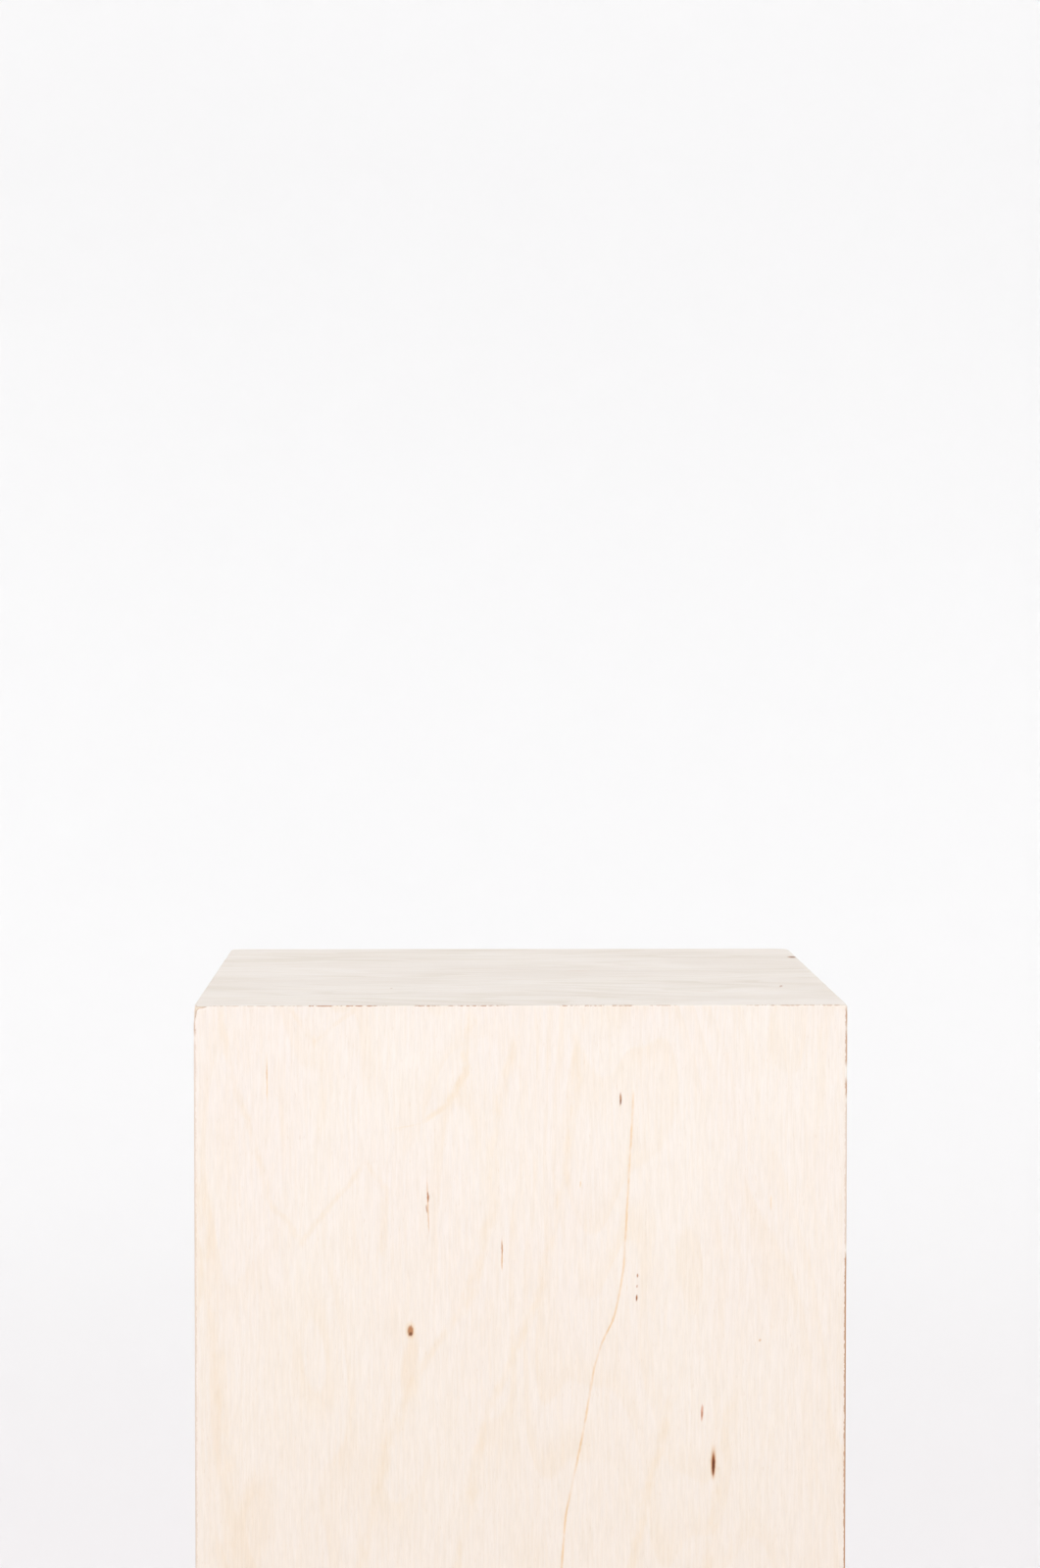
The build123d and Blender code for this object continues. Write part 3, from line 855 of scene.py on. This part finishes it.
def beech():
    """Planed beech with its grain on X: short dark ray flecks on a pinkish ground."""
    g = Graph("beech_block")
    x, y, z = g.split(g.place())[:3]
    grain = g.join(y, z, x)
    bands = g.noise(grain, (5, 5, 140), 2.0)
    fibre = g.noise(grain, (0.6, 0.6, 26), 3.0, 0.6)
    rays = g.step(g.noise(grain, (0.55, 0.9, 4.0), 1.0), 0.62, 0.70)
    colour = g.shaded(BEECH, g.step(bands, 0.3, 0.7, 0.88, 1.05))
    colour = g.shaded(colour, g.step(fibre, 0.25, 0.75, 0.93, 1.04))
    colour = g.mix(g.math("MULTIPLY", rays, 0.55), colour, BEECH_RAY)
    return g.finish(colour, g.step(fibre, 0.25, 0.75, 0.50, 0.64), fibre, 0.03 * MM, 0.35)


def pressed_beech():
    """Biscuits: compressed fibre laid on the skew, with the press's fine chequer."""
    g = Graph("pressed_beech")
    point = g.place()
    fibre = g.noise(g.turned(point, 35, "Y"), (0.5, 0.5, 8), 3.0, 0.6)
    x, y, z = g.split(point)[:3]
    rows = g.math("SINE", g.math("MULTIPLY", g.math("ADD", x, z), math.tau / 1.6))
    columns = g.math("SINE", g.math("MULTIPLY", g.math("SUBTRACT", y, z), math.tau / 1.6))
    chequer = g.math("MULTIPLY", rows, columns)
    colour = g.shaded(PRESSED_BEECH, g.step(fibre, 0.25, 0.75, 0.84, 1.08))
    height = g.math("ADD", g.math("MULTIPLY", chequer, 0.4), fibre)
    return g.finish(colour, g.step(fibre, 0.25, 0.75, 0.58, 0.74), height, 0.05 * MM, 0.3)


def plated(name, tint, threaded=False):
    """Zinc plating: a cloudy, slightly uneven metal, with grime in the roots of a thread."""
    g = Graph(name)
    point = g.place()
    cloud = g.noise(point, (4, 4, 4), 3.0, 0.6)
    grit = g.noise(point, (0.5, 0.5, 0.5), 2.0, 0.7)
    colour = g.shaded(tint, g.step(cloud, 0.25, 0.75, 0.86, 1.06))
    rough = g.math("ADD", g.step(cloud, 0.25, 0.75, 0.26, 0.38), g.step(grit, 0.3, 0.7, 0.0, 0.06))
    metal = 1.0
    if threaded:
        x, y, z = g.split(point)[:3]
        off = [g.math("SUBTRACT", g.math("ABSOLUTE", v), STUD_AT / MM) for v in (x, y)]
        root = g.step(g.length(g.join(*off, 0.0)), THREAD_ROOT / MM, THREAD_CREST / MM, 1.0, 0.0)
        grime = g.math("MULTIPLY", g.math("MULTIPLY", root, g.step(grit, 0.35, 0.6)), 0.8)
        grime = g.math("MULTIPLY", grime, g.math("GREATER_THAN", z, HEX_TOP / MM))
        colour = g.mix(grime, colour, GRIME)
        rough = g.math("ADD", rough, g.math("MULTIPLY", grime, 0.4))
        metal = g.math("SUBTRACT", 1.0, g.math("MULTIPLY", grime, 0.7))
    g.feed(g.shader.inputs["Metallic"], metal)
    return g.finish(colour, rough, grit, 0.01 * MM)


def moulded(name, tint, rough, dust_height, dust_share):
    """Moulded nylon or rubber: fine mould texture, and floor dust low down and in patches."""
    g = Graph(name)
    point = g.place()
    z = g.split(point)[2]
    grain = g.noise(point, (0.35, 0.35, 0.35), 2.0, 0.6)
    cloud = g.noise(point, (7, 7, 3), 3.0, 0.7)
    low = g.step(z, 0.0, dust_height, 1.0, 0.15)
    dust = g.math("MULTIPLY", g.math("MULTIPLY", low, g.step(cloud, 0.38, 0.66)), dust_share)
    colour = g.mix(dust, g.shaded(tint, g.step(grain, 0.3, 0.7, 0.85, 1.15)), DUST)
    roughness = g.math("ADD", g.step(grain, 0.3, 0.7, rough - 0.05, rough + 0.05), dust)
    return g.finish(colour, roughness, grain, 0.03 * MM, 0.4)


# --- Building the panels ----------------------------------------------------------------------

SCREWS = ["base_rail_screws", "top_rail_screws", "foot_block_screws"]


def wall_place(turn):
    spin = Matrix.Rotation(math.radians(turn), 3, "Z")
    return lambda p: spin @ Vector((p.x, -p.z, p.y))


for wall, (turn, left_edge, right_edge, sign) in WALLS.items():
    over = RADIUS["top_" + wall]
    wall_radii = (
        RADIUS[left_edge],
        RADIUS[right_edge],
        None,
        lambda s, over=over, sign=sign: over(sign * s),
    )
    blank = panel_mesh(
        "plinth_" + wall, wall_radii, WALL_LOW, HEIGHT, HALF, wall_place(turn), wall == "front"
    )
    let_in = ["biscuits_" + left_edge, "biscuits_" + right_edge, "biscuits_top_" + wall]
    panel_data = cut(blank, let_in + SCREWS, veneer(wall), ply_edge(wall))
    shade(panel_data)
    shown("plinth_" + wall, panel_data, "case", "birch_plywood", wall + "_panel")

top_radii = tuple(RADIUS["top_" + wall] for wall in ("left", "right", "front", "back"))
blank = panel_mesh("plinth_top", top_radii, -HALF, HALF, HEIGHT, lambda p: p)
panel_data = cut(blank, ["biscuits_top_" + wall for wall in WALLS], veneer("top"), ply_edge("top"))
shade(panel_data)
shown("plinth_top", panel_data, "case", "birch_plywood", "top_panel")

# --- The pieces inside the case ---------------------------------------------------------------

CORNERS = ["front_right", "back_right", "back_left", "front_left"]
LEVELS = ["lower", "upper"]


def painted(node, material, ease=0.0):
    """Gives a CAD node its material and, if ease isn't 0, slightly rounded edges.

    The weld joins the faces of the CAD mesh, which the bevel needs.
    """
    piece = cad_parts[node]
    piece.data.materials.clear()
    piece.data.materials.append(material)
    if ease:
        weld = piece.modifiers.new("weld", "WELD")
        weld.merge_threshold = 0.001 * MM
        bevel = piece.modifiers.new("ease", "BEVEL")
        bevel.width, bevel.segments, bevel.limit_method = ease, 2, "ANGLE"
        bevel.angle_limit = math.radians(50)
        flat = piece.modifiers.new("flat", "WEIGHTED_NORMAL")
        flat.weight = 100


for wall in WALLS:
    lengthwise = "X" if wall in ("front", "back") else "Y"
    for rail in ("base_rail_" + wall, "top_rail_" + wall):
        rng = random.Random(rail)
        low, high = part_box(rail)
        across = 0 if lengthwise == "Y" else 1
        pith = (low[across] / MM + rng.uniform(-50, 70), low.z / MM + rng.uniform(-45, 90))
        painted(rail, pine("pine_" + rail, lengthwise, pith))
for corner in CORNERS:
    for level in LEVELS:
        block = "glue_block_" + corner + "_" + level
        rng = random.Random(block)
        low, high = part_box(block)
        pith = (low.x / MM + rng.uniform(-60, 80), low.y / MM + rng.uniform(-60, 80))
        painted(block, pine("pine_" + block, "Z", pith), 0.4 * MM)

beech_wood, biscuit_wood = beech(), pressed_beech()
zinc, yellow_zinc = plated("zinc_plate", ZINC), plated("yellow_zinc_plate", YELLOW_ZINC)
for corner in CORNERS:
    painted("foot_block_" + corner, beech_wood, 0.3 * MM)
    painted("tee_nut_" + corner, zinc, 0.12 * MM)
    painted("biscuits_" + corner, biscuit_wood, 0.2 * MM)
for wall in WALLS:
    painted("biscuits_top_" + wall, biscuit_wood, 0.2 * MM)
for screws in SCREWS:
    painted(screws, yellow_zinc)

# --- The levelling feet -----------------------------------------------------------------------


def ring_mesh(name, middle, rows, steps, lid=True):
    """A mesh round an upright axis, closed at its first row and, with a lid, at its last.

    rows are (z, radius function of the angle).
    """
    mesh = bmesh.new()
    rings = []
    for z, radius in rows:
        ring = []
        for k in range(steps):
            angle = math.tau * k / steps
            x = middle[0] + radius(angle) * math.cos(angle)
            y = middle[1] + radius(angle) * math.sin(angle)
            ring.append(mesh.verts.new((x, y, z)))
        rings.append(ring)
    for n in (0, -1) if lid else (0,):
        ring, end = rings[n], mesh.verts.new((*middle, rows[n][0]))
        for k in range(steps):
            mesh.faces.new((end, ring[k], ring[(k + 1) % steps]))
    for low_ring, high_ring in zip(rings, rings[1:]):
        for k in range(steps):
            after = (k + 1) % steps
            mesh.faces.new((low_ring[k], low_ring[after], high_ring[after], high_ring[k]))
    bmesh.ops.recalc_face_normals(mesh, faces=mesh.faces)
    data = bpy.data.meshes.new(name)
    mesh.to_mesh(data)
    mesh.free()
    return data


def even(radius):
    return lambda angle: radius


def stud_rows():
    """The stud from its head up: head, neck, chamfered hexagon and right-hand thread."""
    ease = 0.4 * MM
    rows = [
        (HEAD_LOW, even(HEAD_RADIUS - ease)),
        (HEAD_LOW + ease, even(HEAD_RADIUS)),
        (HEAD_HIGH - ease, even(HEAD_RADIUS)),
        (HEAD_HIGH, even(HEAD_RADIUS - ease)),
        (HEAD_HIGH, even(NECK_RADIUS)),
        (HEX_LOW, even(NECK_RADIUS)),
    ]

    def hexagon(limit):
        def radius(angle):
            flat = (angle + math.radians(30)) % math.radians(60) - math.radians(30)
            return min(HEX_FLATS / 2 / math.cos(flat), limit)

        return radius

    corner = HEX_FLATS / 2 / math.cos(math.radians(30))
    chamfer = corner - HEX_FLATS / 2
    slope = math.tan(math.radians(30))
    for n in range(CHAMFER_STEPS + 1):
        share = n / CHAMFER_STEPS
        rows.append((HEX_LOW + chamfer * share * slope, hexagon(HEX_FLATS / 2 + chamfer * share)))
    for n in range(CHAMFER_STEPS, -1, -1):
        share = n / CHAMFER_STEPS
        rows.append((HEX_TOP - chamfer * share * slope, hexagon(HEX_FLATS / 2 + chamfer * share)))

    def thread(z):
        fade = smooth((z - HEX_TOP) / THREAD_PITCH) * smooth((STUD_TOP - z) / (0.8 * THREAD_PITCH))

        def radius(angle):
            turn = ((z - HEX_TOP) / THREAD_PITCH - angle / math.tau) % 1
            flank = min(max(abs(turn - 0.5) * 2.5 - 0.15, 0.0), 1.0)
            return lerp(THREAD_ROOT, lerp(THREAD_CREST, THREAD_ROOT, flank), fade)

        return radius

    count = round((STUD_TOP - HEX_TOP) / THREAD_PITCH * THREAD_ROWS)
    for n in range(count + 1):
        z = lerp(HEX_TOP, STUD_TOP, n / count)
        rows.append((z, thread(z)))
    return rows


def pad_rows():
    """The pad from its underside, over its ribbed skirt and cone, down into the stud's socket."""
    ease = 0.5 * MM

    def ribbed(radius, depth):
        return lambda angle: radius - depth * (0.5 + 0.5 * math.cos(angle * PAD_RIBS)) ** 3

    skirt_high = PAD_LOW + PAD_EDGE
    rows = [
        (SOLE_HIGH, even(SOLE_RADIUS)),
        (PAD_LOW, even(SOLE_RADIUS)),
        (PAD_LOW, even(PAD_RADIUS - ease)),
        (PAD_LOW + 0.3 * ease, ribbed(PAD_RADIUS - 0.3 * ease, PAD_RIB_DEPTH)),
        (PAD_LOW + ease, ribbed(PAD_RADIUS, PAD_RIB_DEPTH)),
        (skirt_high - ease, ribbed(PAD_RADIUS, PAD_RIB_DEPTH)),
        (skirt_high, even(PAD_RADIUS - ease)),
    ]
    for n in range(1, 6):
        share = n / 6
        rows.append((lerp(skirt_high, PAD_HIGH, share), even(lerp(PAD_RADIUS - ease, PAD_NECK, share))))
    rows += [
        (PAD_HIGH - 0.3 * ease, even(PAD_NECK)),
        (PAD_HIGH, even(PAD_NECK - 0.6 * ease)),
        (PAD_HIGH, even(MOUTH_RADIUS + 0.4 * ease)),
        (PAD_HIGH - 0.4 * ease, even(MOUTH_RADIUS)),
        (SOCKET_HIGH, even(MOUTH_RADIUS)),
        (SOCKET_HIGH, even(SOCKET_RADIUS)),
        (SOCKET_LOW, even(SOCKET_RADIUS)),
    ]
    return rows


def sole_rows():
    """The sole from the middle of its tread outwards and up: rings of tread, then a plain side."""
    rows = []
    for n in range(SOLE_RINGS):
        rise = SOLE_GROOVE if n % 2 else 0.0
        start, stop = (SOLE_RADIUS * 0.86 * (n + k) / SOLE_RINGS for k in (0.12, 0.88))
        rows += [(rise, even(start)), (rise, even(stop))]
    rows += [
        (0.0, even(SOLE_RADIUS * 0.88)),
        (0.0, even(SOLE_RADIUS - 0.4 * MM)),
        (0.4 * MM, even(SOLE_RADIUS)),
        (SOLE_HIGH, even(SOLE_RADIUS)),
    ]
    return rows


stud_metal = plated("zinc_stud", ZINC, threaded=True)
pad_nylon = moulded("black_nylon", NYLON, 0.48, 4.0, 0.25)
sole_rubber = moulded("black_rubber", RUBBER, 0.80, 2.0, 0.30)
for corner in CORNERS:
    low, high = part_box("foot_pad_" + corner)
    middle = ((low.x + high.x) / 2, (low.y + high.y) / 2)
    for kind, rows, body, slot, paint, steps in (
        ("stud", stud_rows(), "stud_", "zinc_steel", stud_metal, STUD_STEPS),
        ("pad", pad_rows(), "pad_", "nylon", pad_nylon, PAD_STEPS),
        ("sole", sole_rows(), "pad_", "rubber", sole_rubber, SOLE_STEPS),
    ):
        data = ring_mesh("levelling_" + kind + "_" + corner, middle, rows, steps)
        data.materials.append(paint)
        shade(data, 35)
        shown(data.name, data, body + corner, slot, "foot_" + kind + "_" + corner)

# --- Stage, light and camera ------------------------------------------------------------------

FLOOR_RADIUS = 5.0
COVE_RADIUS = 2.5
COVE_STEPS = 12
WALL_HEIGHT = 7.0
STAGE_STEPS = 96
FLOOR_PAINT = (0.785, 0.764, 0.771)
WALL_PAINT = (0.872, 0.872, 0.874)
WHITE = (1.0, 1.0, 1.0, 1.0)
AIR_STRENGTH = 1.355
KEY_PLACE = (-0.6, -5.0, 1.5)
KEY_AIM = (0, 0, 0.9)
KEY_SIZE = 2.6
KEY_POWER = 48
CAMERA_PLACE = (-0.0398, -2.1416, 1.3006)
CAMERA_TURN = (87.61, -0.02, -1.14)  # degrees
CAMERA_LENS = 84.67


def stage_paint():
    """Matt white: a little greyer on the floor round the plinth, and painted a little lighter high up as
    painted light.
    """
    g = Graph("studio_paint")
    point = g.place()
    colour = g.mix(g.step(g.length(point), 2600, 7500), FLOOR_PAINT, WALL_PAINT)
    mottle = g.step(g.noise(point, (900, 900, 900), 2.0), 0.3, 0.7, -0.004, 0.0)
    # painted light: the wall is painted a little lighter high up, standing in for brighter light there
    painted_light_high_up = g.step(g.split(point)[2], 1200, 3600, 1.0, 1.024)
    return g.finish(g.shaded(colour, g.math("ADD", mottle, painted_light_high_up)), 1.0, specular=0.0)


def stage_bowl():
    """A seamless pale floor that turns up into a wall all round."""
    rows = [(0.0, even(share * FLOOR_RADIUS)) for share in (0.24, 0.6, 1.0)]
    for n in range(1, COVE_STEPS + 1):
        angle = math.radians(90) * n / COVE_STEPS
        rise = COVE_RADIUS * (1 - math.cos(angle))
        rows.append((rise, even(FLOOR_RADIUS + COVE_RADIUS * math.sin(angle))))
    rows.append((WALL_HEIGHT, even(FLOOR_RADIUS + COVE_RADIUS)))
    data = ring_mesh("studio", (0, 0), rows, STAGE_STEPS, lid=False)
    data.materials.append(stage_paint())
    shade(data)
    bowl = bpy.data.objects.new("studio", data)
    bpy.context.scene.collection.objects.link(bowl)


stage_bowl()


def soft_light(name, place, aim, size, power):
    data = bpy.data.lights.new(name, "AREA")
    data.shape, data.size, data.energy = "SQUARE", size, power
    light = bpy.data.objects.new(name, data)
    light.location = place
    light.rotation_euler = (Vector(aim) - Vector(place)).to_track_quat("-Z", "Y").to_euler()
    light.visible_camera = False
    bpy.context.scene.collection.objects.link(light)


soft_light("key", KEY_PLACE, KEY_AIM, KEY_SIZE, KEY_POWER)

world = bpy.data.worlds.new("studio_air")
world.use_nodes = True
air = world.node_tree.nodes["Background"]
air.inputs["Color"].default_value = WHITE
air.inputs["Strength"].default_value = AIR_STRENGTH
bpy.context.scene.world = world

lens = bpy.data.cameras.new("view")
lens.lens, lens.sensor_width, lens.sensor_fit = CAMERA_LENS, 36.0, "AUTO"
lens.clip_end = 50.0
camera = bpy.data.objects.new("view", lens)
camera.location = CAMERA_PLACE
camera.rotation_euler = [math.radians(turn) for turn in CAMERA_TURN]
bpy.context.scene.collection.objects.link(camera)
bpy.context.scene.camera = camera
bpy.context.scene.view_settings.view_transform = "Standard"
